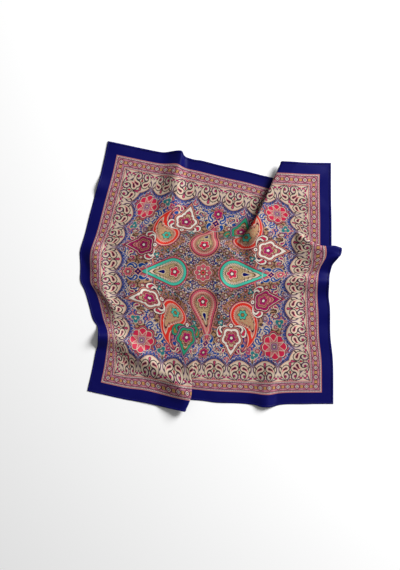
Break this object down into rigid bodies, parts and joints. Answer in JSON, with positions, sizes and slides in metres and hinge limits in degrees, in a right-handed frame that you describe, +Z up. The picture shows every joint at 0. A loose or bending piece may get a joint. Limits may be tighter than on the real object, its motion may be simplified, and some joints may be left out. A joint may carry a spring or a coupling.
{
  "type": "square headscarf",
  "caption": "Square printed silk headscarf with a navy border and rolled hems, dropped loosely on a surface with tucks and soft ridges.",
  "frame": {"origin": "middle of the laid scarf's bounding box, on the surface that it lies on", "axes": "+Z up, out of the printed side; +Y towards the top hem, which has the raised corner flap at its right; +X towards the right hem"},
  "size_m": [0.9068, 0.9362, 0.0371],
  "materials": {
    "printed_silk": "satin-soft silk twill, printed in many colours",
    "navy_silk": "satin-soft silk twill, rolled and sewn"
  },
  "bodies": {
    "root": {"panel": "printed_silk", "hem_top": "navy_silk", "hem_right": "navy_silk", "hem_bottom": "navy_silk", "hem_left": "navy_silk"}
  },
  "joints": []
}
